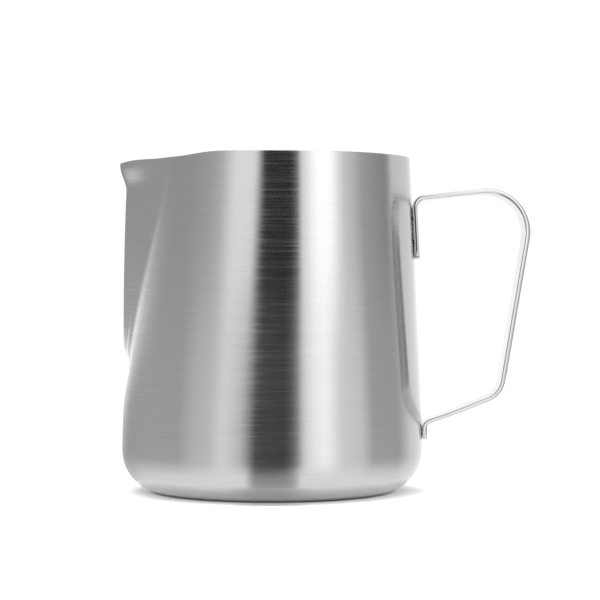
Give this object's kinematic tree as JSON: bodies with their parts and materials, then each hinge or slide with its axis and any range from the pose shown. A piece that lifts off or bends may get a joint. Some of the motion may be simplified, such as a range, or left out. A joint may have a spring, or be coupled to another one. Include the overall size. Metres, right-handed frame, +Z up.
{
  "type": "milk frothing pitcher",
  "caption": "Stainless steel milk frothing pitcher with a tapered round body, a pressed pouring spout and a bent strip handle welded on at both ends.",
  "frame": {"origin": "centre of the flat base, on the body's axis, at the height of the surface that it stands on", "axes": "+Z up along the body's axis, +X towards the handle, -X towards the spout, XZ is the plane of symmetry"},
  "size_m": [0.1296, 0.0952, 0.1053],
  "materials": {
    "shell_steel": "satin, brushed around the axis",
    "handle_steel": "satin, brushed along the strip"
  },
  "bodies": {
    "root": {"body_shell": "shell_steel", "handle_strip": "handle_steel", "upper_weld_top": "handle_steel", "upper_weld_bottom": "handle_steel", "lower_weld_left": "handle_steel", "lower_weld_right": "handle_steel"}
  },
  "joints": []
}
